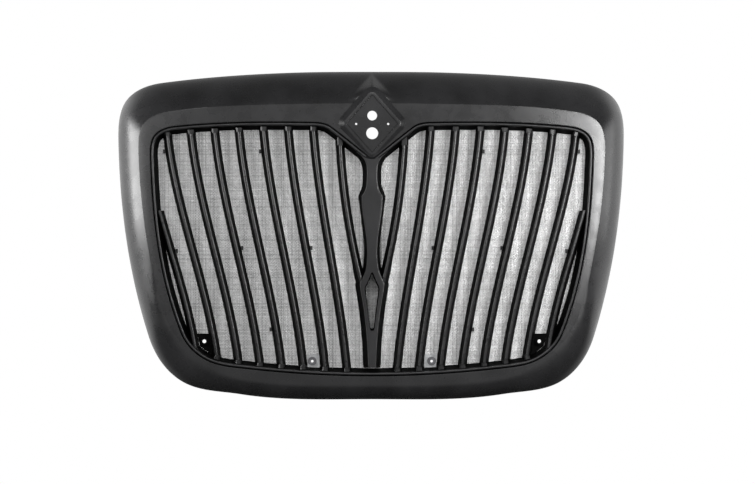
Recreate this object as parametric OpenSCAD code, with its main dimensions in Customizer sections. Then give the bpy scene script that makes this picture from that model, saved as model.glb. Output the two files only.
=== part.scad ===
// Front grille of a heavy truck: a moulded surround, an insert of curved bars
// with a centre spine, a diamond badge seat and a woven bug screen behind.
// Seen from the front: +X right, -Y towards the viewer, +Z up.
// The origin is midway between the two lower corner mounting holes, on the
// front seats of their bosses.

/* [Surround] */
// Width over the surround
grille_w = 1154; // [1050:1:1250]
// Height over the surround
grille_h = 745; // [680:1:800]
// How far the side edges sweep back from the middle
sweep_back = 55; // [30:1:80]
// How far the top and bottom edges curve back
crown = 14; // [6:1:24]
// Wall thickness of the surround
wall_t = 3.4; // [2.8:0.1:4]
// Depth of the rolled flank at the sides and top
flank_depth = 82; // [60:1:95]
// Depth of the rolled flank along the bottom
bottom_depth = 46; // [35:1:60]

/* [Insert] */
// Depth from the face to the back of the insert
insert_depth = 38; // [34:1:42]
// Width of a bar across its nose
bar_nose_w = 10; // [8:0.5:12]
// Width of a bar at its back
bar_back_w = 21; // [18:0.5:24]
// Bar to bar pitch at the top
pitch_top = 58.1; // [56:0.1:59]
// Bar to bar pitch at the bottom
pitch_bottom = 49.9; // [47:0.05:51]

/* [Badge seat] */
// Width of the diamond floor
badge_w = 118; // [100:1:124]
// Height of the diamond floor
badge_h = 132; // [116:1:136]
// How far the diamond rim stands out from the face
badge_rise = 6.5; // [5:0.5:9]
// Radius of the upper badge hole
badge_hole_upper_r = 11; // [8:0.5:12]
// Radius of the lower badge hole
badge_hole_lower_r = 13.5; // [10:0.5:14]
// Radius of the two locating pin holes
badge_pin_r = 2.5; // [2:0.25:3]
// Distance between the locating pin holes
badge_pin_spacing = 72.6; // [68:0.2:76]

/* [Screen] */
// Thickness of the bug screen
screen_t = 1.2; // [0.8:0.1:2]
// Thickness of the strip that clamps the screen
retainer_t = 3; // [2:0.5:4]

/* [Mounting] */
// Distance between the lower corner mounting holes
corner_spacing = 761; // [745:1:770]
// Radius of the lower corner mounting holes
corner_hole_r = 4.25; // [3.5:0.25:4.5]
// Distance between the lower threaded holes
nut_spacing = 271; // [266:1:276]
// Radius of the lower threaded holes
nut_hole_r = 3; // [2.5:0.25:3.5]
// Distance between the upper bracket holes
bracket_spacing = 600; // [560:1:640]
// Radius of the upper bracket holes
bracket_hole_r = 4.5; // [4:0.25:5]

/* [Hidden] */
$fn = 48;
bars_per_side = 9;
half_w = grille_w / 2;
half_h = grille_h / 2;
wide = half_w / 577;
tall = half_h / 372.5;
through = 400;

// --- Curved face and outlines ------------------------------------------------

// Distance of the grille's face behind its middle, at any point of the front view
function face_y(x, z) = sweep_back * pow(x / half_w, 2) + crown * pow(z / half_h, 2);

// Outline knots of the right half, from top centre to bottom centre:
// [distance from the middle, height, heading in degrees]
outer_knots = [[0, 372, 0], [90, 371.8, -0.5], [150, 371, -1.5], [478, 347.2, -7.5],
    [568, 290, -69], [577, 220, -91], [507, -232, -108], [432, -332.5, -149],
    [300, -361.5, -171], [0, -373, -180]];
crease_knots = [[0, 299, 0], [90, 298.5, -0.3], [150, 297.6, -1], [460, 280.9, -8],
    [524.5, 241, -70], [529.8, 180, -92], [481, -150, -105], [400, -276, -143],
    [290, -325, -171], [0, -338, -180]];
inner_knots = [[0, 173, 38], [92, 245.5, 37], [134, 256.4, 1], [448, 247.4, -6],
    [500, 215, -72], [503.3, 165, -92], [434.5, -222, -112], [373.5, -285.5, -154],
    [290.5, -303, -173.5], [0, -320, -180]];
knot_steps = [5, 4, 7, 7, 4, 8, 6, 4, 5];

// A point between two knots, on the arc-like curve that keeps both headings
function handle_len(a, b) =
    norm([b[0] - a[0], b[1] - a[1]]) / (3 * pow(cos((b[2] - a[2]) / 4), 2));
function between(a, b, t) =
    let (k = handle_len(a, b),
         from_a = [a[0] + k * cos(a[2]), a[1] + k * sin(a[2])],
         to_b = [b[0] - k * cos(b[2]), b[1] - k * sin(b[2])])
    pow(1 - t, 3) * [a[0], a[1]] + 3 * t * pow(1 - t, 2) * from_a
        + 3 * t * t * (1 - t) * to_b + pow(t, 3) * [b[0], b[1]];

function half_loop(knots) =
    [for (k = [0:len(knot_steps) - 1]) for (i = [0:knot_steps[k] - 1])
        let (p = between(knots[k], knots[k + 1], i / knot_steps[k])) [p[0] * wide, p[1] * tall]];
function full_loop(knots) =
    let (right = half_loop(knots), last = knots[len(knots) - 1])
    concat(right, [[0, last[1] * tall]],
        [for (i = [len(right) - 1:-1:1]) [-right[i][0], right[i][1]]]);

outer_loop = full_loop(outer_knots);
crease_loop = full_loop(crease_knots);
inner_loop = full_loop(inner_knots);
stations = len(inner_loop);

function unit2(v) = v / norm(v);
function mix(a, b, t) = a * (1 - t) + b * t;
function smooth(t) = let (c = max(0, min(1, t))) c * c * (3 - 2 * c);

// A point of a loop moved towards the middle of the opening
function inset(loop, i, n) =
    let (m = len(loop), t = unit2(loop[(i + 1) % m] - loop[(i + m - 1) % m]))
    loop[i] + n * [t[1], -t[0]];

// A front-view point placed behind the curved face
function on_face(p, depth) = [p[0], face_y(p[0], p[1]) + depth, p[1]];

// --- Solids from rows of points ----------------------------------------------

// A closed ring from one closed section per station
module ring_solid(rows) {
    m = len(rows);
    k = len(rows[0]);
    polyhedron(
        points = [for (row = rows) for (p = row) p],
        faces = [for (i = [0:m - 1]) for (j = [0:k - 1])
            let (a = i * k + j, b = i * k + (j + 1) % k,
                 c = ((i + 1) % m) * k + (j + 1) % k, d = ((i + 1) % m) * k + j)
            each [[a, b, c], [a, c, d]]],
        convexity = 10);
}

// A bar from one closed section per station, closed at both ends
module bar_solid(rows) {
    m = len(rows);
    k = len(rows[0]);
    polyhedron(
        points = [for (row = rows) for (p = row) p],
        faces = concat(
            [for (i = [0:m - 2]) for (j = [0:k - 1])
                let (a = i * k + j, b = i * k + (j + 1) % k,
                     c = (i + 1) * k + (j + 1) % k, d = (i + 1) * k + j)
                each [[a, b, c], [a, c, d]]],
            [for (j = [1:k - 2]) [0, j + 1, j]],
            [for (j = [1:k - 2]) [(m - 1) * k, (m - 1) * k + j, (m - 1) * k + j + 1]]),
        convexity = 6);
}

// Every node is laid out about the middle of the outline, then moved so that
// the corner mounting holes' midpoint is the origin
tab_seat_y = 42;
corner_z = -241;
module placed() translate([0, -tab_seat_y, -corner_z]) children();

module along_y(r, y0, y1) translate([0, y0, 0]) rotate([-90, 0, 0]) cylinder(r = r, h = y1 - y0);

// --- Surround ------------------------------------------------------------------

// Depth of the flank, shallower along the bottom
function flank_d(z) = mix(bottom_depth, flank_depth, smooth((z + half_h) / 260));
// Share of the flank's depth that is a straight slope, none along the bottom
function slope_share(z) = 0.42 * smooth((z + 260) / 200);
function flank_curve(f, share) = share * f + (1 - share) * (1 - sqrt(1 - f * f));

return_depth = 17;
flank_steps = [0.2, 0.4, 0.6, 0.8, 0.93, 1];
crease_spot = 4;
rim_spot = crease_spot + len(flank_steps) + 1;

// Chamfer inside the corner where the return meets the back of the face
back_chamfer = 0.8;

// The closed section at a station, between two spots counted from the inner edge
function surround_row(i, first, last) =
    let (a = inner_loop[i], c = crease_loop[i], o = outer_loop[i],
         out = unit2(o - a), deep = flank_d(o[1]), share = slope_share(o[1]),
         spots = concat([a, a, a + 1.2 * out, mix(a, c, 0.5), c],
            [for (f = flank_steps) mix(c, o, f)], [o - 0.8 * out]),
         depths = concat([return_depth, 1.4, 0, 0, 0],
            [for (f = flank_steps) deep * flank_curve(f, share)], [deep + 6]),
         front = [for (k = [0:rim_spot]) [(spots[k] - a) * out, depths[k]]])
    concat(
        [for (k = [first:last]) on_face(spots[k], depths[k])],
        [for (k = [last:-1:first])
            let (t = unit2(front[min(k + 1, rim_spot)] - front[max(k - 1, 0)]),
                 n = wall_t * [-t[1], t[0]])
            k == 1 ? on_face(a + wall_t * out, wall_t + back_chamfer)
            : k == 2 ? on_face(a + (wall_t + back_chamfer) * out, wall_t)
            : on_face(spots[k] + n[0] * out, depths[k] + n[1])]);

// A length of the rolled flank between two stations
module flank_wall(from, to) {
    bar_solid([for (i = [from:to]) surround_row(i % stations, crease_spot, rim_spot)]);
}

badge_z = 253;
badge_y = face_y(0, badge_z);
rim_w = 12;

module diamond_prism(grow, r, y0, y1) {
    w = badge_w / 2 + grow - r * 1.42;
    h = badge_h / 2 + grow - r * 1.42;
    translate([0, y1, badge_z]) rotate([90, 0, 0]) linear_extrude(y1 - y0)
        offset(r = r) polygon([[w, 0], [0, h], [-w, 0], [0, -h]]);
}

// Raised rim round the badge. Its lowest corner is cut off along the edge of the opening.
module rim() difference() {
    diamond_prism(rim_w, 9, badge_y - badge_rise, badge_y + wall_t);
    translate([0, through, 0]) rotate([90, 0, 0]) linear_extrude(2 * through)
        polygon([[0, 178], [60, 221.5], [60, 100], [-60, 100], [-60, 221.5]]);
}

// Raised gable that runs from the top of the badge rim to the upper edge
module peak() {
    corners = [[0, 73, 366], [0, 11, 340], [54, 12, 304], [-54, 12, 304],
        [25, 31, 336], [-25, 31, 336]];
    hull() for (p = corners) for (back = [0, 11])
        translate([p[0], p[1] + back, p[2]]) cube(0.2, center = true);
}

module at_face(p) translate([p[0], face_y(p[0], p[1]), p[1]]) children();

function both_sides(list) = concat(list, [for (i = list) stations - i]);

// Where the insert is screwed to bosses behind the surround
insert_screw_spots = [for (i = both_sides([8, 15, 23, 31, 38, 47])) inset(inner_loop, i, -10)];
boss_r = 5.2;
pilot_r = 2;
pilot_front = 8;

bracket_x = bracket_spacing / 2;
pad_z = 278;
pad_y = face_y(bracket_x + 14, pad_z + 12) + wall_t;
pad_depth = 6;

module badge_opening() {
    diamond_prism(0.3, 2, badge_y - badge_rise - 1, badge_y + 30);
}

module surround_face() color("#2b2b2d") placed() difference() {
    union() {
        ring_solid([for (i = [0:stations - 1]) surround_row(i, 0, crease_spot)]);
        rim();
        for (p = insert_screw_spots) at_face(p) along_y(boss_r, 1, return_depth);
        for (side = [-1, 1]) translate([side * bracket_x - 13, pad_y - pad_depth, pad_z - 11])
            cube([26, pad_depth, 22]);
    }
    badge_opening();
    for (p = insert_screw_spots) at_face(p) along_y(pilot_r, pilot_front, 30);
    for (side = [-1, 1]) translate([side * bracket_x, pad_y, pad_z])
        along_y(pilot_r, 2 - pad_depth, 5);
}

// Stations where the flank's lengths meet, past the upper and lower corners
corner_top = 16;
corner_low = 41;

module flank_top() color("#2b2b2d") placed() difference() {
    union() {
        flank_wall(stations - corner_top, stations + corner_top);
        peak();
    }
    rim();
    badge_opening();
}

module flank_right() color("#2b2b2d") placed() flank_wall(corner_top, corner_low);
module flank_bottom() color("#2b2b2d") placed() flank_wall(corner_low, stations - corner_low);
module flank_left() color("#2b2b2d") placed()
    flank_wall(stations - corner_low, stations - corner_top);

// --- Badge seat ----------------------------------------------------------------

floor_y = badge_y - badge_rise + 1.6;
floor_t = 4;
upper_hole_z = 271;
lower_hole_z = 231;
pin_z = 252;

module badge_floor() color("#303032") placed() difference() {
    union() {
        diamond_prism(0, 2, floor_y, floor_y + floor_t);
        diamond_prism(-6, 2, floor_y + floor_t - 1, badge_y + wall_t + 2);
    }
    translate([0, 0, upper_hole_z]) along_y(badge_hole_upper_r, -through, through);
    translate([0, 0, lower_hole_z]) along_y(badge_hole_lower_r, -through, through);
    for (side = [-1, 1]) translate([side * badge_pin_spacing / 2, 0, pin_z])
        along_y(badge_pin_r, -through, through);
}

// Four push nuts that hold the floor from behind, across the rim of the opening
module badge_push_nuts() color("#8c8f92") placed()
    for (sx = [-1, 1]) for (sz = [-1, 1])
        translate([sx * badge_w / 4, badge_y + wall_t + 2, badge_z + sz * badge_h / 4])
            difference() {
                along_y(7, 0, 1.5);
                along_y(2, -1, 3);
            }

// --- Insert ring ----------------------------------------------------------------

flange_front = return_depth;
flange_back = 20;
flange_reach = 16;
wall_foot = 18;
lip_t = 3;
// The flange is narrower behind the sharp tip under the badge
function flange_at(p) = p[1] > 0 ? min(flange_reach, 8 + abs(p[0]) * 0.13) : flange_reach;

// Where the wall's rear face lies at the flange's back and at its own back edge
wall_back = 1.8;
wall_rear = wall_foot - 3.6;

// A ring that follows the opening, from section points [inwards, depth]
module opening_ring(section) {
    ring_solid([for (i = [0:stations - 1])
        [for (s = section) on_face(inset(inner_loop, i, s[0]), s[1])]]);
}

// Where the retainer strip and screen are screwed to the ring's rear lip
retainer_screw_spots =
    [for (i = concat(both_sides([10, 19, 27, 35, 43]), [stations / 2])) inset(inner_loop, i, 8)];
clearance_r = 2.4;
small_screw_r = 1.5;

// Bead and sloping wall round the opening
module insert_ring() color("#1d1d1f") placed()
    opening_ring([[wall_foot, insert_depth], [8, 6.5], [6.6, 3], [4.6, 2], [2.6, 3],
        [wall_back, 6], [wall_back, flange_back], [9.4, flange_back], [wall_rear, insert_depth]]);

// Flange that is screwed behind the surround
module insert_flange() color("#1d1d1f") placed() difference() {
    ring_solid([for (i = [0:stations - 1]) let (reach = flange_at(inner_loop[i]))
        [for (s = [[wall_back, flange_back], [wall_back, flange_front],
                   [-reach, flange_front], [-reach, flange_back]])
            on_face(inset(inner_loop, i, s[0]), s[1])]]);
    for (p = insert_screw_spots) at_face(p) along_y(clearance_r, 10, 25);
}

// Rear lip that the screen and its retainer are screwed to
lip_front = insert_depth - lip_t;
module insert_lip() color("#1d1d1f") placed() difference() {
    opening_ring([[wall_rear, insert_depth],
        [mix(9.4, wall_rear, (lip_front - flange_back) / (insert_depth - flange_back)), lip_front],
        [0, lip_front], [0, insert_depth]]);
    for (p = retainer_screw_spots) at_face(p)
        along_y(small_screw_r, lip_front - 3, insert_depth + 5);
}

module screw(r, head_r, head_h, length) {
    along_y(r, -length, 0);
    along_y(head_r, 0, head_h);
}

module insert_screws() color("#6f7174") placed()
    for (p = insert_screw_spots) at_face(p) translate([0, flange_back + 1, 0])
        screw(pilot_r, 4.6, 2.6, 12);

// --- Bars -----------------------------------------------------------------------

// Heights of the bars' ends, from the outermost bar to the innermost
bar_tops = [221, 230, 234.6, 236.9, 239.1, 241.4, 241.4, 241.4, 227.8];
bar_feet = [-260.9, -276.9, -288.2, -294.1, -297.3, -299.6, -302.8, -306, -307.5];
nose_depth = 7;
shoulder_depth = 10;
end_gap = 7;
bar_steps = 16;

// The innermost bar's own path, with t as the height in hundreds. It bends in further than
// the others, to the shoulder of the spine.
function inner_bar_x(t) = 47.7 + 18.7 * t - 3.3 * t * t;
// Share of the way across that a bar has moved at a share u of its height
function bar_sweep(u) = 0.49 * u + 1.39 * u * u - 0.88 * u * u * u;
// The pitch closes up a little towards the outside
function bar_x(i, z) = i == bars_per_side ? inner_bar_x(z / tall / 100) * wide :
    let (n = bars_per_side - i, top = 75.3 + pitch_top * n - 0.36 * n * n,
         foot = 7.2 + pitch_bottom * n - 0.09 * n * n,
         u = (bar_tops[i - 1] * tall - z) / (tall * (bar_tops[i - 1] - bar_feet[i - 1])))
    (top + (foot - top) * bar_sweep(u)) * wide;

// The outermost bar starts where it leaves the ring's wall. The innermost one
// starts under the slanting edge, below a taller block, and ends in the spine
inner_bar_top = 201;
function bar_start(i) = i == 1 ? 56 * tall
    : i == bars_per_side ? inner_bar_top * tall : bar_tops[i - 1] * tall - end_gap;
function bar_end(i) = i == bars_per_side ? -98 * tall : bar_feet[i - 1] * tall + end_gap;

// How far out a bar may reach before it meets the inside of the ring's wall
side_table = [for (p = inner_loop) if (p[0] > 380 * wide && abs(p[1]) < 235 * tall) [p[1], p[0]]];
function wall_x(z, depth) =
    lookup(z, side_table) - 8.4 - (depth - 6.5) * (wall_foot - 8) / (insert_depth - 6.5);
function bar_point(x, z, depth) = on_face([min(x, wall_x(z, depth)), z], depth);

function bar_row(i, z) =
    let (x = bar_x(i, z), back = insert_depth - 2, half_nose = bar_nose_w / 2,
         half_back = bar_back_w / 2)
    [bar_point(x - half_back, z, back), bar_point(x - half_nose, z, shoulder_depth),
     bar_point(x, z, nose_depth), bar_point(x + half_nose, z, shoulder_depth),
     bar_point(x + half_back, z, back)];

module bar(side, i) color("#141415") placed() mirror([side < 0 ? 1 : 0, 0, 0])
    bar_solid([for (k = [0:bar_steps])
        bar_row(i, mix(bar_start(i), bar_end(i), k / bar_steps))]);

// Wedge blocks on the ring's wall that the bars end in
function nearest(loop, p) = let (d = [for (q = loop) norm(q - p)]) search(min(d), d)[0];
function heading(i) =
    let (t = inner_loop[(i + 1) % stations] - inner_loop[(i + stations - 1) % stations])
    atan2(t[1], t[0]);
socket_w = 13;

module socket(i, z) {
    p = [bar_x(i, z), z];
    at_face(p) rotate([0, -heading(nearest(inner_loop, p)), 0])
        translate([-socket_w / 2, 0, 0]) rotate([90, 0, 90]) linear_extrude(socket_w)
            polygon([[12, 5], [12, -5.5], [34, -5.5], [34, -2.6]]);
}

// The innermost bar's upper block stands upright, from the slanting edge down
module inner_block() {
    z = inner_bar_top * tall + 2;
    at_face([bar_x(bars_per_side, z + 9), z]) translate([-socket_w / 2, 12, 0])
        cube([socket_w, 22, 19]);
}

module sockets(side, upper) color("#1b1b1d") placed() mirror([side < 0 ? 1 : 0, 0, 0]) {
    for (i = upper ? [2:bars_per_side - 1] : [1:bars_per_side - 1])
        socket(i, (upper ? bar_tops[i - 1] : bar_feet[i - 1]) * tall);
    if (upper) inner_block();
}

// --- Spine ----------------------------------------------------------------------

// [height at the middle, height at the edges, half width in front, half width behind]
spine_rows = [[172, 189, 35, 42], [166, 177, 21, 33], [158, 166, 14, 26],
    [150, 155, 11.3, 22.5], [139, 139, 10.9, 21], [116, 116, 11.9, 21.6], [103, 103, 14.8, 25.2],
    [96, 96, 17.9, 28.2], [87, 87, 23, 30.9], [71, 71, 22.6, 28.8], [12, 12, 15, 21.8],
    [-11, -11, 12.1, 19], [-38, -38, 10.7, 17.9], [-65, -65, 12.3, 19.6], [-84, -84, 16, 23.5],
    [-99, -99, 22.5, 31], [-111, -111, 26.8, 38.3], [-122, -122, 25.5, 36.8],
    [-170, -170, 17.6, 29.6], [-215, -215, 12.5, 24.6], [-262, -262, 9.2, 21.2],
    [-300, -300, 7.6, 19.6]];
spine_face = 2;
lens_half_w = 16.6;

function spine_row(r) =
    let (back = insert_depth - 2, zc = r[0] * tall, ze = r[1] * tall)
    [on_face([-r[3], ze], back), on_face([-r[2], ze], spine_face), on_face([0, zc], spine_face),
     on_face([r[2], ze], spine_face), on_face([r[3], ze], back)];

module spine() color("#2a2a2c") placed() difference() {
    bar_solid([for (r = spine_rows) spine_row(r)]);
    translate([0, through, 0]) rotate([90, 0, 0]) linear_extrude(2 * through) hull() {
        translate([0, -209]) circle(r = 5);
        polygon([[0, -86], [lens_half_w, -122], [-lens_half_w, -122]]);
    }
    for (z = strip_screw_z) at_face([0, z]) along_y(small_screw_r, 30, 40);
}

// --- Bug screen -----------------------------------------------------------------

// Lower fastener places on the right side, seen in the front view
corner_spot = [corner_spacing / 2, corner_z];
nut_spot = [nut_spacing / 2, -286];
corner_cutout_r = 9;
nut_cutout_r = 4;
screen_edge = 2;
screen_rings = [0.35, 0.7, 1];
screen_middle = [0, -40];

// The sheet is a fan of rings: point 0 is its middle, ring r holds one point a station
screen_flat = concat([screen_middle], [for (f = screen_rings) for (i = [0:stations - 1])
    mix(screen_middle, inset(inner_loop, i, screen_edge), f)]);
screen_points = len(screen_flat);
function ring_point(r, i) = 1 + (r - 1) * stations + i % stations;

// A thin curved sheet from its middle out to its edge
module screen_sheet() {
    n = screen_points;
    rings = len(screen_rings);
    m = stations - 1;
    polyhedron(
        points = concat([for (p = screen_flat) on_face(p, insert_depth)],
            [for (p = screen_flat) on_face(p, insert_depth + screen_t)]),
        faces = concat(
            [for (i = [0:m]) [0, ring_point(1, i), ring_point(1, i + 1)]],
            [for (r = [1:rings - 1]) for (i = [0:m]) let (a = ring_point(r, i),
                b = ring_point(r + 1, i), c = ring_point(r + 1, i + 1), d = ring_point(r, i + 1))
                each [[a, b, c], [a, c, d], [n + a, n + c, n + b], [n + a, n + d, n + c]]],
            [for (i = [0:m]) let (a = ring_point(rings, i), b = ring_point(rings, i + 1))
                each [[a, n + a, n + b], [a, n + b, b]]],
            [for (i = [0:m]) [n, n + ring_point(1, i + 1), n + ring_point(1, i)]]),
        convexity = 6);
}

module bug_screen() color("#b4b4b0") placed() difference() {
    screen_sheet();
    for (p = retainer_screw_spots) at_face(p) along_y(small_screw_r, 30, 50);
    for (z = strip_screw_z) at_face([0, z]) along_y(small_screw_r, 30, 50);
    for (side = [-1, 1]) {
        translate([side * corner_spot[0], 0, corner_spot[1]]) along_y(corner_cutout_r, 0, 120);
        translate([side * nut_spot[0], 0, nut_spot[1]]) along_y(nut_cutout_r, 0, 120);
    }
}

strip_inner = 14;
strip_outer = 2.5;
module screen_retainer() color("#232325") placed() difference() {
    front = insert_depth + screen_t;
    opening_ring([[strip_inner, front + retainer_t], [strip_inner, front],
        [strip_outer, front], [strip_outer, front + retainer_t]]);
    for (p = retainer_screw_spots) at_face(p) along_y(small_screw_r, 30, 60);
}

module retainer_screws() color("#77797c") placed()
    for (p = retainer_screw_spots) at_face(p)
        translate([0, insert_depth + screen_t + retainer_t + 0.4, 0])
            screw(small_screw_r, 4, 2.2, 7);

// Upright strip behind the screen that clamps it to the spine
strip_w = 44;
strip_top = 128;
strip_foot = -294;
strip_screw_z = [104, 0, -76, -228];
strip_back = insert_depth + screen_t + retainer_t;
module screen_centre_strip() color("#232325") placed() difference() {
    bar_solid([for (k = [0:8]) let (z = mix(strip_top, strip_foot, k / 8) * tall)
        [on_face([-strip_w / 2, z], strip_back), on_face([-strip_w / 2, z], insert_depth + screen_t),
         on_face([strip_w / 2, z], insert_depth + screen_t),
         on_face([strip_w / 2, z], strip_back)]]);
    for (z = strip_screw_z) at_face([0, z]) along_y(small_screw_r, 30, 60);
}

module centre_strip_screws() color("#77797c") placed()
    for (z = strip_screw_z) at_face([0, z]) translate([0, strip_back + 0.4, 0])
        screw(small_screw_r, 4, 2.2, 12);

// Pegs beside the bars that the screen is snapped onto: [bar, height, +1 outside or -1 inside]
snap_places = [[2, 190, 1], [6, 190, 1], [1, -36, -1], [4, -29, -1], [7, -29, -1], [5, -214, 1]];
snap_w = 5;
snap_h = 9;
module screen_snaps() color("#101011") placed()
    for (side = [-1, 1]) for (s = snap_places) {
        x = bar_x(s[0], s[1]) + s[2] * (bar_back_w / 2 + snap_w / 2 - 0.4);
        translate([side * x, face_y(x, s[1]) + insert_depth - 4, s[1]])
            cube([snap_w, 7.5, snap_h], center = true);
    }

// --- Lower mounting points ---------------------------------------------------------

tab_y = face_y(corner_spot[0], corner_spot[1]) + 20;
tab_t = 3;
boss_outer_r = 8;
boss_back = 24;
module corner_tab(side) color("#1a1a1b") placed() mirror([side < 0 ? 1 : 0, 0, 0])
    difference() {
        union() {
            translate([0, tab_y + tab_t, 0]) rotate([90, 0, 0]) linear_extrude(tab_t)
                polygon([[368.5, -223.4], [397, -223.4], [390, -252.5], [361.5, -273]]);
            translate([corner_spot[0], 0, corner_spot[1]])
                along_y(boss_outer_r, tab_seat_y, tab_seat_y + boss_back);
        }
        translate([corner_spot[0], 0, corner_spot[1]]) along_y(corner_hole_r, 0, 120);
    }

plate_w = 27;
plate_h = 30;
plate_t = 2;
plate_y = face_y(nut_spot[0], nut_spot[1]) + insert_depth - 5;
nut_h = 7;
module nut_plate(side) color("#b9bbbd") placed() mirror([side < 0 ? 1 : 0, 0, 0])
    difference() {
        translate([nut_spot[0] - plate_w / 2 - 3, plate_y, nut_spot[1] - plate_h / 2])
            cube([plate_w, plate_t, plate_h]);
        translate([nut_spot[0], 0, nut_spot[1]]) along_y(nut_hole_r + 0.6, 0, 120);
    }

module hex_nut(side) color("#6d7073") placed() mirror([side < 0 ? 1 : 0, 0, 0])
    translate([nut_spot[0], plate_y - nut_h, nut_spot[1]]) difference() {
        union() {
            rotate([-90, 0, 0]) cylinder(r = 9.2, h = nut_h, $fn = 6);
            along_y(9.8, nut_h - 1.6, nut_h);
        }
        along_y(nut_hole_r, -1, nut_h + 1);
    }

// --- Upper brackets ------------------------------------------------------------------

strip_t = 2.5;
bracket_w = 26;
bracket_back = 84;
bracket_top = 308;
bracket_hole_z = 294;
module upper_bracket(side) color("#3a3b3d") placed() difference() {
    x0 = side * bracket_x - bracket_w / 2;
    union() {
        translate([x0, pad_y, pad_z - 11]) cube([bracket_w, strip_t, 22]);
        translate([x0, pad_y, pad_z - 11 - strip_t]) cube([bracket_w, bracket_back, strip_t]);
        translate([x0, pad_y + bracket_back - strip_t, pad_z - 11 - strip_t])
            cube([bracket_w, strip_t, bracket_top - pad_z + 11 + strip_t]);
    }
    translate([side * bracket_x, pad_y, pad_z]) along_y(clearance_r, -1, 6);
    translate([side * bracket_x, pad_y + bracket_back, bracket_hole_z])
        along_y(bracket_hole_r, -10, 5);
}

module bracket_screws() color("#77797c") placed()
    for (side = [-1, 1]) translate([side * bracket_x, pad_y + strip_t, pad_z])
        screw(pilot_r, 4.6, 2.6, 6.5);

// --- Assembly ------------------------------------------------------------------------

surround_face();
flank_top();
flank_right();
flank_bottom();
flank_left();
badge_floor();
badge_push_nuts();
insert_ring();
insert_flange();
insert_lip();
spine();
for (i = [1:bars_per_side]) {
    bar(-1, i);
    bar(1, i);
}
sockets(-1, true);  // sockets_upper_left
sockets(1, true);  // sockets_upper_right
sockets(-1, false);  // sockets_lower_left
sockets(1, false);  // sockets_lower_right
bug_screen();
screen_retainer();
retainer_screws();
screen_centre_strip();
centre_strip_screws();
screen_snaps();
corner_tab(-1);  // corner_tab_left
corner_tab(1);  // corner_tab_right
nut_plate(-1);  // nut_plate_left
nut_plate(1);  // nut_plate_right
hex_nut(-1);  // hex_nut_left
hex_nut(1);  // hex_nut_right
upper_bracket(-1);  // upper_bracket_left
upper_bracket(1);  // upper_bracket_right
bracket_screws();
insert_screws();
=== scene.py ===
"""Looks of the truck front grille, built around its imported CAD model."""
import math

import bmesh
import bpy
import numpy as np
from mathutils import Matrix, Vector


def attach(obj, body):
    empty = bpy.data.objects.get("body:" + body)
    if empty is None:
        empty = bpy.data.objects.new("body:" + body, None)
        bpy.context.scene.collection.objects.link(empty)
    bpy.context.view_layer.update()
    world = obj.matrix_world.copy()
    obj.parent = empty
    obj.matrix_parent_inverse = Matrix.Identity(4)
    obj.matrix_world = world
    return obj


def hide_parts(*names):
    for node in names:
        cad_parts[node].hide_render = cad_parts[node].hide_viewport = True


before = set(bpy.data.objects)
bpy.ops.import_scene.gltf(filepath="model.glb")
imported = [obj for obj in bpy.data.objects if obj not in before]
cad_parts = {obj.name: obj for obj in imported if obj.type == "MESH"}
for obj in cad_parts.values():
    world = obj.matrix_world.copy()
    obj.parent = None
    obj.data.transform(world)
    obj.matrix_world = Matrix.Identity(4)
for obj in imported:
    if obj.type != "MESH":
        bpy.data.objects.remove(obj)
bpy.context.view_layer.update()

# --- Frame ------------------------------------------------------------------------------
# The grille is laid out in millimetres about the middle of its outline, as in the
# CAD: x to the right, y backwards from the face, z up. The row's origin is midway
# between the corner mounting holes, on their seats.
MM = 0.001
TAB_SEAT_Y = 42.0
CORNER_Z = -241.0
HALF_W, HALF_H = 577.0, 372.5
SWEEP_BACK, CROWN = 55.0, 14.0
INSERT_DEPTH = 38.0
BARS_PER_SIDE = 9


def to_row(points):
    """Layout points in mm to the row's frame in metres."""
    p = np.asarray(points, float).reshape(-1, 3)
    return (p - np.array([0.0, TAB_SEAT_Y, CORNER_Z])) * MM


def face_y(x, z):
    """The face sweeps back towards the sides, and a little towards top and bottom."""
    return SWEEP_BACK * (x / HALF_W) ** 2 + CROWN * (z / HALF_H) ** 2


def smooth(t):
    t = np.clip(t, 0.0, 1.0)
    return t * t * (3 - 2 * t)


def mix(a, b, t):
    return a * (1 - t) + b * t


# --- Outlines ---------------------------------------------------------------------------
# Right half from top centre to bottom centre: (from the middle, height, heading in degrees)
OUTER = [(0, 372, 0), (90, 371.8, -0.5), (150, 371, -1.5), (478, 347.2, -7.5),
         (568, 290, -69), (577, 220, -91), (507, -232, -108), (432, -332.5, -149),
         (300, -361.5, -171), (0, -373, -180)]
CREASE = [(0, 299, 0), (90, 298.5, -0.3), (150, 297.6, -1), (460, 280.9, -8),
          (524.5, 241, -70), (529.8, 180, -92), (481, -150, -105), (400, -276, -143),
          (290, -325, -171), (0, -338, -180)]
INNER = [(0, 173, 38), (92, 245.5, 37), (134, 256.4, 1), (448, 247.4, -6), (500, 215, -72),
         (503.3, 165, -92), (434.5, -222, -112), (373.5, -285.5, -154),
         (290.5, -303, -173.5), (0, -320, -180)]
LOOP_STEPS = [46, 20, 34, 40, 14, 40, 28, 14, 26]
TIP_RADIUS = 9.0
OUTER_SHRINK = 0.9997  # keeps the visible outline just inside the CAD's


def knot_curve(a, b, t):
    """Points between two knots on the arc-like curve that keeps both headings."""
    a, b = np.array(a, float), np.array(b, float)
    quarter_turn = math.radians((b[2] - a[2]) / 4)
    reach = np.hypot(*(b[:2] - a[:2])) / (3 * math.cos(quarter_turn) ** 2)
    ha, hb = np.radians(a[2]), np.radians(b[2])
    p1 = a[:2] + reach * np.array([np.cos(ha), np.sin(ha)])
    p2 = b[:2] - reach * np.array([np.cos(hb), np.sin(hb)])
    t = t[:, None]
    return ((1 - t) ** 3 * a[:2] + 3 * t * (1 - t) ** 2 * p1 + 3 * t * t * (1 - t) * p2
            + t ** 3 * b[:2])


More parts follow.
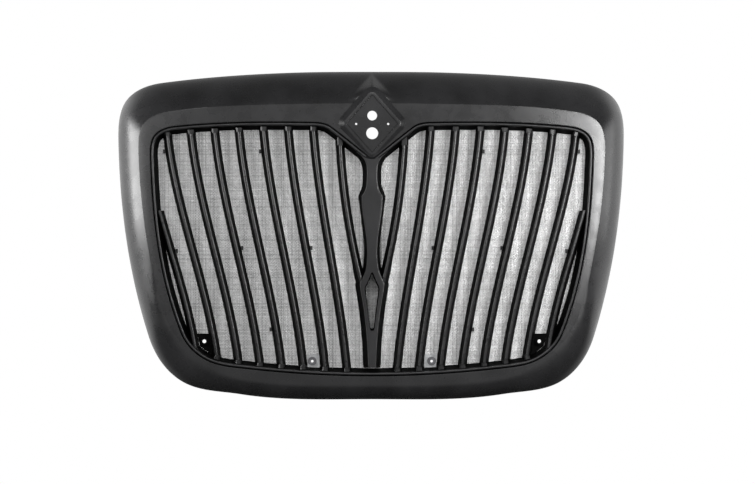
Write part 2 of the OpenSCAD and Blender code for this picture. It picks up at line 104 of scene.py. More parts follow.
def full_loop(knots, tip=0.0):
    """Closed outline from the right half's knots; tip rounds its point at the top centre."""
    right = [knot_curve(knots[k], knots[k + 1], np.arange(n) / n)
             for k, n in enumerate(LOOP_STEPS)]
    right = np.concatenate(right + [np.array([knots[-1][:2]])])
    if tip:
        rise = tip * math.tan(math.radians(knots[0][2]))
        inside = (np.abs(right[:, 0]) < tip) & (right[:, 1] > 0)
        right[inside, 1] = knots[0][1] + rise * 0.5 * (1 + (right[inside, 0] / tip) ** 2)
    left = right[-2:0:-1] * np.array([-1, 1])
    return np.concatenate([right, left])


outer_loop = full_loop(OUTER) * OUTER_SHRINK
crease_loop = full_loop(CREASE)
inner_loop = full_loop(INNER, TIP_RADIUS)


def loop_normals(loop):
    """Unit normals in the front view, pointing into the opening."""
    t = np.roll(loop, -1, 0) - np.roll(loop, 1, 0)
    t /= np.linalg.norm(t, axis=1)[:, None]
    return np.stack([t[:, 1], -t[:, 0]], 1)


inner_normals = loop_normals(inner_loop)


# --- Mesh helpers -----------------------------------------------------------------------
def dress(piece, material, replaces=(), smooth_angle=30.0):
    """Material, shading and the CAD nodes that a piece stands for."""
    piece.data.materials.clear()
    piece.data.materials.append(material)
    if smooth_angle:
        piece.data.shade_smooth()
        piece.data.set_sharp_from_angle(angle=math.radians(smooth_angle))
    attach(piece, "root")
    for node in replaces:
        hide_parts(node)
    return piece


def grid_faces(rows, cols, wrap_rows=False, wrap_cols=True):
    """Quads of a rows x cols lattice of points."""
    i = np.arange(rows if wrap_rows else rows - 1)
    j = np.arange(cols if wrap_cols else cols - 1)
    i, j = [a.ravel() for a in np.meshgrid(i, j, indexing="ij")]
    a = i * cols + j
    b = i * cols + (j + 1) % cols
    c = ((i + 1) % rows) * cols + (j + 1) % cols
    d = ((i + 1) % rows) * cols + j
    return np.stack([a, b, c, d], 1)


def ring_mesh(rows):
    """Closed ring from an array (stations, section points, 3)."""
    m, k, _ = rows.shape
    return rows.reshape(-1, 3), grid_faces(m, k, wrap_rows=True)


def bar_mesh(rows):
    """Bar closed at both ends from an array (stations, section points, 3)."""
    m, k, _ = rows.shape
    faces = [tuple(f) for f in grid_faces(m, k)]
    faces.append(tuple(range(k - 1, -1, -1)))
    faces.append(tuple((m - 1) * k + j for j in range(k)))
    return rows.reshape(-1, 3), faces


def on_face(flat, depth):
    """Front-view points (..., 2) placed a depth behind the curved face."""
    x, z = flat[..., 0], flat[..., 1]
    return np.stack([x, face_y(x, z) + depth, z], -1)


def inset(n):
    return inner_loop + n * inner_normals


def ring_from_section(section):
    """Ring round the opening from (inset, depth) points."""
    rows = np.stack([on_face(inset(n), d) for n, d in section], 1)
    return ring_mesh(rows)


# --- Materials --------------------------------------------------------------------------
def new_material(name):
    mat = bpy.data.materials.new(name)
    mat.use_nodes = True
    nodes, links = mat.node_tree.nodes, mat.node_tree.links
    return mat, nodes, links, nodes["Principled BSDF"]


def noise(nodes, links, scale, detail=2.0, stretch=None):
    """Noise in the piece's own space, stretched where three factors are given."""
    coord = nodes.new("ShaderNodeTexCoord")
    tex = nodes.new("ShaderNodeTexNoise")
    tex.inputs["Scale"].default_value = scale
    tex.inputs["Detail"].default_value = detail
    if stretch:
        mapping = nodes.new("ShaderNodeMapping")
        mapping.inputs["Scale"].default_value = stretch
        links.new(coord.outputs["Object"], mapping.inputs["Vector"])
        links.new(mapping.outputs["Vector"], tex.inputs["Vector"])
    else:
        links.new(coord.outputs["Object"], tex.inputs["Vector"])
    return tex.outputs["Fac"]


def ramp(nodes, links, fac, low, high, start=0.35, end=0.65):
    """Fac to a range of values (numbers or colours)."""
    node = nodes.new("ShaderNodeValToRGB")
    node.color_ramp.elements[0].position = start
    node.color_ramp.elements[1].position = end
    for element, value in zip(node.color_ramp.elements, (low, high)):
        if isinstance(value, (int, float)):
            value = (value, value, value)
        element.color = (*value, 1)
    links.new(fac, node.inputs["Fac"])
    return node.outputs["Color"]


def bump(nodes, links, height, strength, distance):
    node = nodes.new("ShaderNodeBump")
    node.inputs["Strength"].default_value = strength
    node.inputs["Distance"].default_value = distance
    links.new(height, node.inputs["Height"])
    return node.outputs["Normal"]


def calc(nodes, links, operation, a, b=None):
    """One arithmetic node on sockets or numbers."""
    node = nodes.new("ShaderNodeMath")
    node.operation = operation
    for socket, value in zip(node.inputs, (a, b)):
        if isinstance(value, (int, float)):
            socket.default_value = value
        elif value is not None:
            links.new(value, socket)
    return node.outputs["Value"]


def recess(nodes, links, start, end):
    """0 near the grille's curved face and 1 deep behind it, between two depths in mm."""
    coord = nodes.new("ShaderNodeTexCoord")
    split = nodes.new("ShaderNodeSeparateXYZ")
    links.new(coord.outputs["Object"], split.inputs["Vector"])
    x, y, z = (split.outputs[axis] for axis in "XYZ")
    across = calc(nodes, links, "DIVIDE", x, HALF_W * MM)
    up = calc(nodes, links, "DIVIDE", calc(nodes, links, "ADD", z, CORNER_Z * MM), HALF_H * MM)
    across_squared = calc(nodes, links, "MULTIPLY", across, across)
    up_squared = calc(nodes, links, "MULTIPLY", up, up)
    swept = calc(nodes, links, "MULTIPLY", across_squared, SWEEP_BACK * MM)
    crowned = calc(nodes, links, "MULTIPLY", up_squared, CROWN * MM)
    face = calc(nodes, links, "ADD", swept, crowned)
    depth = calc(nodes, links, "SUBTRACT", calc(nodes, links, "ADD", y, TAB_SEAT_Y * MM), face)
    span = nodes.new("ShaderNodeMapRange")
    span.inputs["From Min"].default_value = start * MM
    span.inputs["From Max"].default_value = end * MM
    links.new(depth, span.inputs["Value"])
    return span.outputs["Result"]


# near black painted into the recesses as shade
RECESS_SHADE_BLACK = (0.0022, 0.0022, 0.0022, 1)
DULL_ROUGHER, DULL_SHINE_LOSS = 0.35, 0.96
PLASTIC_GRAIN_HEIGHT, METAL_LINE_HEIGHT = 0.00006, 0.00008


def moulded_plastic(name, base, rough, grain=0.08, specular=0.5, haze=0.25, deep=None):
    """Black moulded plastic: fine spark-eroded grain, slight sheen and tone drift.

    From the first to the second depth in deep (mm) it turns darker, rougher and less shiny; the
    darkening is painted shade in the recesses.
    """
    mat, nodes, links, bsdf = new_material(name)
    drift = noise(nodes, links, 9.0, 3.0)
    dark = tuple(c * (1 - haze) for c in base)
    light = tuple(c * (1 + haze) for c in base)
    colour = ramp(nodes, links, drift, dark, light)
    rub = noise(nodes, links, 34.0, 4.0)
    gloss = ramp(nodes, links, rub, rough - 0.035, rough + 0.035)
    if deep:
        mask = recess(nodes, links, *deep)
        # painted shade: deep behind the face the colour turns to near black
        recess_shade = nodes.new("ShaderNodeMix")
        recess_shade.data_type = "RGBA"
        recess_shade.inputs["B"].default_value = RECESS_SHADE_BLACK
        links.new(mask, recess_shade.inputs["Factor"])
        links.new(colour, recess_shade.inputs["A"])
        colour = recess_shade.outputs["Result"]
        gloss = calc(nodes, links, "ADD", gloss,
                     calc(nodes, links, "MULTIPLY", mask, DULL_ROUGHER))
        shine = calc(nodes, links, "SUBTRACT", specular,
                     calc(nodes, links, "MULTIPLY", mask, specular * DULL_SHINE_LOSS))
        links.new(shine, bsdf.inputs["Specular IOR Level"])
    else:
        bsdf.inputs["Specular IOR Level"].default_value = specular
    links.new(colour, bsdf.inputs["Base Color"])
    links.new(gloss, bsdf.inputs["Roughness"])
    pits = noise(nodes, links, 1500.0, 2.0)
    links.new(bump(nodes, links, pits, grain, PLASTIC_GRAIN_HEIGHT), bsdf.inputs["Normal"])
    return mat


def plated_metal(name, base, rough, scratch=0.12, metallic=1.0, woven=False):
    """Zinc or oxide finish: mottled tone, fine rolling lines and uneven gloss.

    A woven one also takes each strand's own tone, which carries painted shade towards the
    screen's top.
    """
    mat, nodes, links, bsdf = new_material(name)
    mottle = noise(nodes, links, 120.0, 5.0)
    dark = tuple(c * 0.8 for c in base)
    light = tuple(min(1.0, c * 1.15) for c in base)
    colour = ramp(nodes, links, mottle, dark, light)
    if woven:
        strand = nodes.new("ShaderNodeAttribute")
        strand.attribute_name = "tone"
        shade = nodes.new("ShaderNodeMix")
        shade.data_type = "RGBA"
        shade.blend_type = "MULTIPLY"
        shade.inputs["Factor"].default_value = 1.0
        links.new(colour, shade.inputs["A"])
        links.new(ramp(nodes, links, strand.outputs["Fac"], 0.0, 1.0, 0.0, 1.0),
                  shade.inputs["B"])
        colour = shade.outputs["Result"]
    links.new(colour, bsdf.inputs["Base Color"])
    wear = noise(nodes, links, 260.0, 3.0)
    links.new(ramp(nodes, links, wear, rough - 0.06, rough + 0.08), bsdf.inputs["Roughness"])
    lines = noise(nodes, links, 900.0, 3.0, stretch=(0.06, 1.0, 1.0))
    links.new(bump(nodes, links, lines, scratch, METAL_LINE_HEIGHT), bsdf.inputs["Normal"])
    bsdf.inputs["Metallic"].default_value = metallic
    return mat


SHELL = moulded_plastic("shell_plastic", (0.0165, 0.0165, 0.0172), 0.28)
# deep: the depths (mm) over which painted shade darkens these plastics in their recesses
INSERT = moulded_plastic("insert_plastic", (0.0165, 0.0165, 0.0172), 0.32, deep=(4.5, 8.5))
BLOCK = moulded_plastic("block_plastic", (0.012, 0.012, 0.0125), 0.32, deep=(15.0, 19.0))
BAR = moulded_plastic("bar_plastic", (0.017, 0.017, 0.0175), 0.28, deep=(8.3, 11.0))
RETAINER = moulded_plastic("retainer_plastic", (0.012, 0.012, 0.012), 0.5)
WIRE = plated_metal("screen_wire", (0.95, 0.95, 0.945), 0.42, 0.05, metallic=0.3, woven=True)
PLATE = plated_metal("plated_steel", (0.62, 0.63, 0.64), 0.34)
DARK_STEEL = plated_metal("dark_steel", (0.20, 0.20, 0.21), 0.38)
ZINC = plated_metal("zinc_steel", (0.42, 0.43, 0.44), 0.36)
COATED = moulded_plastic("coated_steel", (0.016, 0.016, 0.017), 0.45, 0.1)


# --- Surround ---------------------------------------------------------------------------
SURROUND_NODES = ["surround_face", "flank_top", "flank_right", "flank_bottom", "flank_left"]
WALL_T = 3.4
RETURN_DEPTH = 17.0
EDGE_R = 1.6
FLANK_DEPTH, BOTTOM_DEPTH = 82.0, 46.0
BADGE_Z = 253.0
BADGE_W, BADGE_H = 118.0, 132.0
BADGE_RISE = 6.5
BADGE_Y = face_y(0, BADGE_Z)
HOLLOW_R = 2.2
PEAK_TOP, PEAK_MID, PEAK_FOOT, PEAK_HALF_W = 367.5, 344.0, 302.0, 61.0
PEAK_PITCH, PEAK_RIDGE_R, PEAK_VALLEY_R = 0.92, 1.5, 3.0


def flank_d(z):
    """Depth of the rolled flank, shallower towards the bottom."""
    return mix(BOTTOM_DEPTH, FLANK_DEPTH, smooth((z + HALF_H) / 260))


def slope_share(z):
    """Straight part of the flank's roll; the rest is round."""
    return 0.42 * smooth((z + 260) / 200)


def peak_lift(x, z):
    """How far the gable above the badge stands out from the flank."""
    half = (PEAK_TOP - z) / (PEAK_TOP - PEAK_FOOT) * PEAK_HALF_W
    rise = smooth((z - PEAK_FOOT) / (PEAK_MID - PEAK_FOOT))
    share = half - np.hypot(x, PEAK_RIDGE_R)
    lift = PEAK_PITCH * rise * 0.5 * (share + np.hypot(share, PEAK_VALLEY_R))
    return lift * smooth((90 - np.abs(x)) / 30)


def surround_mesh():
    """Return, flat face and rolled flank, lofted through the three outlines."""
    a, c, o = inner_loop, crease_loop, outer_loop
    out = (o - a) / np.linalg.norm(o - a, axis=1)[:, None]
    deep, share = flank_d(o[:, 1]), slope_share(o[:, 1])
    spots, depths = [], []

    def add(points, depth):
        spots.append(points)
        depths.append(np.broadcast_to(depth, len(points)).astype(float))

    for depth in (RETURN_DEPTH, 12.0, 6.0, 2.2):
        add(a, depth)
    for turn in (30, 60, 90):
        r = math.radians(turn)
        add(a + EDGE_R * (1 - math.cos(r)) * out, EDGE_R * (1 - math.sin(r)))
    start = a + EDGE_R * out
    # the face falls back by up to 1 mm at the crease, on the sides only
    roll = smooth((c[:, 1] + 330) / 200) * smooth((np.abs(c[:, 0]) - 300) / 200)
    for f in np.linspace(0, 1, 30)[1:]:
        add(mix(start, c, f), roll * f ** 3)
    # even steps over the flank, then closer ones where it turns backwards
    last = 0.3
    closer = last * (np.linspace(last, 0, 22)[1:] / last) ** 1.4
    for f in np.concatenate([np.linspace(0.012, 1 - last, 34), 1 - closer]):
        arc = 1 - np.sqrt(np.maximum(0, 1 - f * f))
        add(mix(c, o, f), roll * (1 - f) ** 2 + deep * (share * f + (1 - share) * arc))
    add(o, deep + 3)
    add(o - 0.8 * out, deep + 5.9)
    spots, depths = np.stack(spots, 1), np.stack(depths, 1)
    x, z = spots[..., 0], spots[..., 1]
    depths = depths - np.minimum(peak_lift(x, z), depths + 2.0)
    # the wall's back follows the front at a wall thickness, through fewer points
    w = np.einsum("ijk,ik->ij", spots - a[:, None], out)
    front = np.stack([w, depths], -1)
    t = np.empty_like(front)
    t[:, 1:-1] = front[:, 2:] - front[:, :-2]
    t[:, 0] = front[:, 1] - front[:, 0]
    t[:, -1] = front[:, -1] - front[:, -2]
    t /= np.maximum(np.linalg.norm(t, axis=-1), 1e-9)[..., None]
    keep = [0, 3] + list(range(8, spots.shape[1] - 2, 3)) + [spots.shape[1] - 1]
    back_spots = spots[:, keep] - (WALL_T * t[:, keep, 1:2]) * out[:, None]
    back_depths = depths[:, keep] + WALL_T * t[:, keep, 0]
    rows = np.concatenate([on_face(spots, depths), on_face(back_spots, back_depths)[:, ::-1]], 1)
    return ring_mesh(rows)


def diamond(grow, r, count=10):
    """Rounded diamond outline (x, z) grown from the badge floor, anticlockwise from the right."""
    w = BADGE_W / 2 + grow - r * 1.42
    h = BADGE_H / 2 + grow - r * 1.42
    side = math.degrees(math.atan2(w, h))
    points = []
    for corner, mid in (((w, 0), 0), ((0, h), 90), ((-w, 0), 180), ((0, -h), 270)):
        half = side if mid % 180 == 0 else 90 - side
        for k in range(count + 1):
            ang = math.radians(mid + mix(-half, half, k / count))
            points.append((corner[0] + r * math.cos(ang), corner[1] + r * math.sin(ang)))
    return np.array(points) + np.array([0, BADGE_Z])


def ring_of_outlines(levels, caps=False):
    """Closed solid from (outline, y) levels: a ring, or capped at both ends."""
    rows = np.stack([np.stack([o[:, 0], np.full(len(o), float(y)), o[:, 1]], 1)
                     for o, y in levels])
    m, k, _ = rows.shape
    faces = [tuple(f) for f in grid_faces(m, k, wrap_rows=not caps)]
    if caps:
        faces.append(tuple(range(k - 1, -1, -1)))
        faces.append(tuple((m - 1) * k + j for j in range(k)))
    return rows.reshape(-1, 3), faces


def fix_normals(piece):
    bm = bmesh.new()
    bm.from_mesh(piece.data)
    bmesh.ops.recalc_face_normals(bm, faces=bm.faces)
    bm.to_mesh(piece.data)
    bm.free()


def plain_object(name, verts, faces):
    """Closed mesh from layout points in mm, its normals turned outwards."""
    mesh = bpy.data.meshes.new(name)
    mesh.from_pydata(to_row(verts).tolist(), [], [tuple(int(i) for i in f) for f in faces])
    piece = bpy.data.objects.new(name, mesh)
    bpy.context.scene.collection.objects.link(piece)
    fix_normals(piece)
    return piece


def apply_boolean(piece, tool, operation):
    mod = piece.modifiers.new("cut", "BOOLEAN")
    mod.operation = operation
    mod.object = tool
    mod.solver = "EXACT"
    bpy.context.view_layer.update()
    evaluated = piece.evaluated_get(bpy.context.evaluated_depsgraph_get())
    mesh = bpy.data.meshes.new_from_object(evaluated)
    piece.modifiers.clear()
    piece.data = mesh
    bpy.data.objects.remove(tool)


# The rim's slope from its flat front down to the face: (growth, corner radius, fall)
RIM_SLOPE = [(9.0, 11.0, 0.0), (9.8, 11.5, 0.2), (10.8, 12.2, 0.62), (19.0, 17.5, 4.3),
             (22.8, 20.0, 6.0), (27.0, 22.7, 7.95)]
# What is cut off the rim at the V of the opening
V_CUT = [(0, 178), (-60, 221.5), (-60, 100), (60, 100), (60, 221.5)]


def build_surround():
    """Shell with its gable, cut open at the badge seat and joined to the raised rim."""
    shell = plain_object("surround_shell", *surround_mesh())
    front = BADGE_Y - BADGE_RISE
    back = BADGE_Y + WALL_T + 6
    rim = [(diamond(0.5, HOLLOW_R), back), (diamond(0.5, HOLLOW_R), front)]
    rim += [(diamond(grow, r), front + fall) for grow, r, fall in RIM_SLOPE]
    rim.append((diamond(*RIM_SLOPE[-1][:2]), back))
    band = plain_object("rim", *ring_of_outlines(rim))
    seat = diamond(0.4, HOLLOW_R)
    hole = plain_object("hole", *ring_of_outlines(
        [(seat, front - 5), (seat, BADGE_Y + 80)], caps=True))
    corner = np.array(V_CUT)
    trim = plain_object("trim", *ring_of_outlines([(corner, -60), (corner, 80)], caps=True))
    apply_boolean(band, trim, "DIFFERENCE")
    apply_boolean(shell, hole, "DIFFERENCE")
    apply_boolean(shell, band, "UNION")
    return dress(shell, SHELL, SURROUND_NODES, 24.0)


# --- Badge seat -------------------------------------------------------------------------
FLOOR_Y = BADGE_Y - BADGE_RISE + 1.6
FLOOR_T = 4.0
FLANGE_FRONT = 2.6  # the flange lies this far behind the floor's front
BADGE_HOLES = [(0, 271, 11), (0, 231, 13.5), (36.3, 252, 2.5), (-36.3, 252, 2.5)]


def circle(x, z, r, count=40):
    a = np.arange(count) * 2 * math.pi / count
    return np.stack([x + r * np.cos(a), z + r * np.sin(a)], 1)


def build_badge_floor():
    """Diamond plate with eased edges and four holes, and the block behind it."""
    plate = plain_object("badge_floor_piece", *ring_of_outlines(
        [(diamond(-1.7, 1.5), FLOOR_Y), (diamond(-1.5, 1.7), FLOOR_Y + 0.2),
         (diamond(-1.5, 1.8), FLOOR_Y + FLANGE_FRONT),
         (diamond(0.35, HOLLOW_R), FLOOR_Y + FLANGE_FRONT),
         (diamond(0.35, HOLLOW_R), FLOOR_Y + FLOOR_T), (diamond(-6, 2), FLOOR_Y + FLOOR_T),
         (diamond(-6, 2), BADGE_Y + WALL_T + 2)], caps=True))
    for x, z, r in BADGE_HOLES:
        ease = min(0.8, 0.25 * r)
        hole = plain_object("hole", *ring_of_outlines(
            [(circle(x, z, r + ease + 0.5), FLOOR_Y - 0.5), (circle(x, z, r), FLOOR_Y + ease),
             (circle(x, z, r), FLOOR_Y + 30)], caps=True))
        apply_boolean(plate, hole, "DIFFERENCE")
    return dress(plate, SHELL, ["badge_floor"])


# --- Insert ring ------------------------------------------------------------------------
BEAD_AT, BEAD_DEPTH, BEAD_R = 5.0, 4.9, 2.9
RING_WALL = [(18, INSERT_DEPTH), (17.6, 36.6), (8.0, 6.5)]
RING_BACK = [(1.9, 8), (1.8, 20), (9.4, 20), (14.4, INSERT_DEPTH)]


def build_ring():
    """Rounded bead and sloping wall round the opening."""
    section = list(RING_WALL)
    for turn in range(0, 181, 20):
        a = math.radians(turn)
        section.append((BEAD_AT + BEAD_R * math.cos(a), BEAD_DEPTH - BEAD_R * math.sin(a)))
    section += RING_BACK
    ring = plain_object("insert_ring_piece", *ring_from_section(section))
    return dress(ring, INSERT, ["insert_ring"])


# --- Bars -------------------------------------------------------------------------------
BAR_TOPS = [221, 230, 234.6, 236.9, 239.1, 241.4, 241.4, 241.4, 227.8]
BAR_FEET = [-260.9, -276.9, -288.2, -294.1, -297.3, -299.6, -302.8, -306, -307.5]
BAR_ROWS = 64
INNER_BAR_TOP, INNER_BAR_END, OUTER_BAR_TOP = 201.0, -112.0, 56.0
BLOCK_REACH = 5.0
HIDDEN_FROM = 13.0  # depth of a flank's front edge where it runs on behind a block


def bar_x(i, z):
    """A bar's ridge from the middle at a height; bar 1 is the outermost, 9 the innermost."""
    if i == BARS_PER_SIDE:
        return 47.7 + 18.7 * (z / 100) - 3.3 * (z / 100) ** 2
    n = BARS_PER_SIDE - i
    top, foot = 75.3 + 58.1 * n - 0.36 * n * n, 7.2 + 49.9 * n - 0.09 * n * n
    u = (BAR_TOPS[i - 1] - z) / (BAR_TOPS[i - 1] - BAR_FEET[i - 1])
    return top + (foot - top) * (0.49 * u + 1.39 * u * u - 0.88 * u ** 3)


right_edge = inner_loop[(inner_loop[:, 0] > 380) & (np.abs(inner_loop[:, 1]) < 235)]
right_edge = right_edge[np.argsort(right_edge[:, 1])]
RING_WALL_INSET, RING_WALL_FRONT, RING_WALL_SLOPE = 8.4, 6.5, 10 / 31.5


def wall_x(z, depth):
    """The ring's side wall, which the outermost bar runs into."""
    edge = np.interp(z, right_edge[:, 1], right_edge[:, 0])
    return edge - RING_WALL_INSET - (depth - RING_WALL_FRONT) * RING_WALL_SLOPE


# Half of a bar's section, (across from its ridge, depth): rounded nose, shoulder, flank
BAR_HALF = [(0.0, 7.0), (0.7, 7.05), (1.4, 7.22), (2.1, 7.55), (2.7, 8.0), (3.2, 8.65),
            (3.6, 9.5), (4.0, 10.8), (4.8, 14.0), (9.6, 33.0), (10.4, 36.0)]


def bar_verts(i, z, shallowest):
    """A bar's section at a height, cut back to the shallowest depth wanted there."""
    # the innermost bar's outer flank spreads towards its foot
    flare = 1.0 + 0.25 * smooth((-50.0 - z) / 45.0) * (i == BARS_PER_SIDE)
    section = [(-w, d) for w, d in BAR_HALF[:0:-1]] + [(w * flare, d) for w, d in BAR_HALF]
    section = [(w, max(d, shallowest)) for w, d in section]
    x = bar_x(i, z)
    spots = [(min(x + w, wall_x(z, d)), d) for w, d in section]
    return [(across, face_y(across, z) + d, z) for across, d in spots]


def build_bar(side_sign, i):
    """One bar: the outermost starts in the ring's wall and the innermost ends in the spine."""
    start = BAR_TOPS[i - 1] - BLOCK_REACH
    end = BAR_FEET[i - 1] + BLOCK_REACH
    if i == 1:
        start = OUTER_BAR_TOP
    if i == BARS_PER_SIDE:
        start, end = INNER_BAR_TOP + 2.5, INNER_BAR_END
    # stretches from top to foot: (upper, lower, rows, shallowest depth)
    stretches = [(start, end, BAR_ROWS, 0.0)]
    # the flanks run on behind the blocks at both ends
    if i > 1:
        reach = 20.0 if i == BARS_PER_SIDE else 8.0
        stretches.insert(0, (start + reach, start + 0.1, 4, HIDDEN_FROM))
    if i < BARS_PER_SIDE:
        stretches.append((end - 0.1, end - 8.0, 4, HIDDEN_FROM))
    rows = np.array([bar_verts(i, z, shallowest) for upper, lower, count, shallowest in stretches
                     for z in np.linspace(upper, lower, count)], float)
    rows[:, :, 0] *= side_sign
    tag = "left" if side_sign < 0 else "right"
    bar = plain_object(f"bar_{tag}_{i}_piece", *bar_mesh(rows))
    return dress(bar, BAR, [f"bar_{tag}_{i}"], 20.0)


BLOCK_BACK = 34.5
# Stations of a block: (inwards from the edge, front, half width, half of its nose)
BLOCK_STATIONS = [(-5.0, 11.2, 7.2, 3.6), (4.4, 11.2, 6.1, 3.0), (5.6, 12.2, 5.8, 2.8),
                  (5.6, 34.0, 6.6, 3.0)]
# The same of the innermost bar's upper block: (above INNER_BAR_TOP, front, half, nose)
INNER_STATIONS = [(22.0, 11.2, 6.6, 4.4), (3.2, 11.2, 6.3, 4.2), (2.0, 12.2, 6.0, 4.0),
                  (2.0, 34.0, 6.6, 4.0)]


def block_section(front, half, nose, cheek):
    """Flat nose between two slanted cheeks, (across, depth)."""
    section = [(-half, BLOCK_BACK), (-half, front + cheek), (-nose, front), (nose, front),
               (half, front + cheek), (half, BLOCK_BACK)]
    return [(across, min(depth, BLOCK_BACK)) for across, depth in section]


def socket_rows(i, z):
    """Wedge standing square on the opening's edge, [station, section point, xyz]."""
    p = np.array([bar_x(i, z), z])
    inwards = inner_normals[int(np.argmin(np.linalg.norm(inner_loop - p, axis=1)))]
    along = np.array([-inwards[1], inwards[0]])
    rows = []
    for reach, front, half, nose in BLOCK_STATIONS:
        row = []
        for across, depth in block_section(front, half, nose, 3.2):
            q = p + across * along + reach * inwards
            row.append((q[0], face_y(q[0], q[1]) + depth, q[1]))
        rows.append(row)
    return np.array(rows, float)


def inner_block_rows():
    """The innermost bar's upper block stands upright, from the slanting edge down."""
    x = bar_x(BARS_PER_SIDE, INNER_BAR_TOP + 10)
    rows = []
    for above, front, half, nose in INNER_STATIONS:
        z = INNER_BAR_TOP + above
        rows.append([(x + across, face_y(x + across, z) + depth, z)
                     for across, depth in block_section(front, half, nose, 1.6)])
    return np.array(rows, float)


def build_sockets(side_sign, upper):
    """One side's upper or lower row of blocks as one piece."""
    verts, faces = [], []
    ends = BAR_TOPS if upper else BAR_FEET
    first = 2 if upper else 1
    for i in range(first, first + 8):
        if upper and i == BARS_PER_SIDE:
            rows = inner_block_rows()
        else:
            rows = socket_rows(i, ends[i - 1])
        rows[:, :, 0] *= side_sign
        v, f = bar_mesh(rows)
        faces += [tuple(k + len(verts) for k in face) for face in f]
        verts += v.tolist()
    level = "upper" if upper else "lower"
    tag = "left" if side_sign < 0 else "right"
    name = f"sockets_{level}_{tag}"
    piece = plain_object(name + "_piece", verts, faces)
    return dress(piece, BLOCK, [name])


# --- Spine ------------------------------------------------------------------------------
# (height at the middle, height at the edge, half width in front, half width at the back)
SPINE_ROWS = [(172, 189, 35, 42), (166, 177, 21, 33), (158, 166, 14, 26),
              (150, 155, 11.3, 22.5), (139, 139, 10.9, 21), (116, 116, 11.9, 21.6),
              (103, 103, 14.8, 25.2), (96, 96, 17.9, 28.2), (87, 87, 23, 30.9),
              (71, 71, 22.6, 28.8), (12, 12, 15, 21.8), (-11, -11, 12.1, 19),
              (-38, -38, 10.7, 17.9), (-65, -65, 12.3, 19.6), (-84, -84, 16, 23.5),
              (-99, -99, 22.5, 31), (-111, -111, 26.8, 38.3), (-122, -122, 25.5, 36.8),
              (-170, -170, 17.6, 29.6), (-215, -215, 12.5, 24.6), (-262, -262, 9.2, 21.2),
              (-300, -300, 7.6, 19.6)]


def eased_rows(rows, per_step):
    """Rows in between, on curves that never overshoot their knots; column 1 sets the pace."""
    rows = np.array(rows, float)
    t = np.concatenate([[0], np.cumsum(np.abs(np.diff(rows[:, 1])))])
    slope = np.diff(rows, axis=0) / np.diff(t)[:, None]
    tangent = np.zeros_like(rows)
    same = slope[1:] * slope[:-1] > 0
    tangent[1:-1][same] = (2 * slope[1:] * slope[:-1])[same] / (slope[1:] + slope[:-1])[same]
    tangent[0], tangent[-1] = slope[0], slope[-1]
    out = []
    for k in range(len(rows) - 1):
        h = t[k + 1] - t[k]
        for f in np.arange(per_step) / per_step:
            out.append((1 + 2 * f) * (1 - f) ** 2 * rows[k] + f * (1 - f) ** 2 * h * tangent[k]
                       + f * f * (3 - 2 * f) * rows[k + 1] + f * f * (f - 1) * h * tangent[k + 1])
    return out + [rows[-1]]


SPINE_FRONT, SPINE_BACK = 2.0, 36.0
# The lens: its right side from the shoulder up, its top point and its round foot
LENS_SIDE = [(15.8, -128), (16.6, -123), (15.4, -117), (11.2, -110), (7.2, -101), (2.2, -89)]
LENS_TOP, LENS_FOOT, LENS_FOOT_R = (0, -87.4), -209.0, 5.0
LENS_MIDDLE = np.array([0, -140])
LENS_FLARE, LENS_THROAT = 1.06, (0.88, 0.97)


def build_spine():
    """Tie-shaped spine with a flat front, eased edges and a lens cut through it."""
    rows = []
    for mid, edge, front, back in eased_rows(SPINE_ROWS, 6):
        half = []
        flat = [(share * front, SPINE_FRONT) for share in (0, 0.25, 0.5, 0.75)]
        edges = [(front - 1.2, SPINE_FRONT), (front - 0.4, 2.3), (front, 3.0),
                 (front + 0.2, 4.5), (back, SPINE_BACK)]
        for w, d in flat + edges:
            z = mix(mid, edge, min(w / front, 1.0) ** 2)
            half.append((w, face_y(w, z) + d, z))
        rows.append([(-x, y, z) for x, y, z in half[:0:-1]] + half)
    spine = plain_object("spine_piece", *bar_mesh(np.array(rows, float)))
    a = np.radians(np.linspace(180, 360, 13))
    foot = np.stack([LENS_FOOT_R * np.cos(a), LENS_FOOT + LENS_FOOT_R * np.sin(a)], 1)
    upper = np.array(LENS_SIDE + [LENS_TOP] + [(-x, z) for x, z in LENS_SIDE[::-1]])
    lens = np.concatenate([foot, upper])
    flare = LENS_MIDDLE + (lens - LENS_MIDDLE) * LENS_FLARE
    throat = LENS_MIDDLE + (lens - LENS_MIDDLE) * LENS_THROAT
    window = plain_object("window", *ring_of_outlines(
        [(flare, 0.0), (flare, 3.0), (throat, 34.0), (throat, 60.0)], caps=True))
    apply_boolean(spine, window, "DIFFERENCE")
    return dress(spine, INSERT, ["spine"], 24.0)


# --- Bug screen -------------------------------------------------------------------------
PITCH = 3.1
STRAND_W, STRAND_T = 1.98, 0.8
STRAND_GROUPS = 5
SCREEN_DEPTH = INSERT_DEPTH + 0.9
TOP_SHADE_AMOUNT, TOP_SHADE_FROM, TOP_SHADE_SPAN = 0.2, 80.0, 130.0  # painted shade: the screen is darker towards the top
# (middle, radius) of the cut-outs on the right: corner tab and nut
SCREEN_CUTS = [((380.5, CORNER_Z), 9.0), ((135.5, -286.0), 4.2)]
edge_loop = inset(2.0)


def wobble(k, seed):
    """A fixed irregular number in -1 to 1 for each strand."""
    return math.sin(k * 12.9898 + seed * 78.233) * 43758.5453 % 1.0 * 2 - 1


def spans(loop, axis, at):
    """Where the line at a height (or across) is inside the loop."""
    a, b = loop, np.roll(loop, -1, 0)
    crosses = (a[:, axis] > at) != (b[:, axis] > at)
    a, b = a[crosses], b[crosses]
    f = (at - a[:, axis]) / (b[:, axis] - a[:, axis])
    cuts = np.sort(a[:, 1 - axis] + f * (b[:, 1 - axis] - a[:, 1 - axis]))
    return list(zip(cuts[::2], cuts[1::2]))


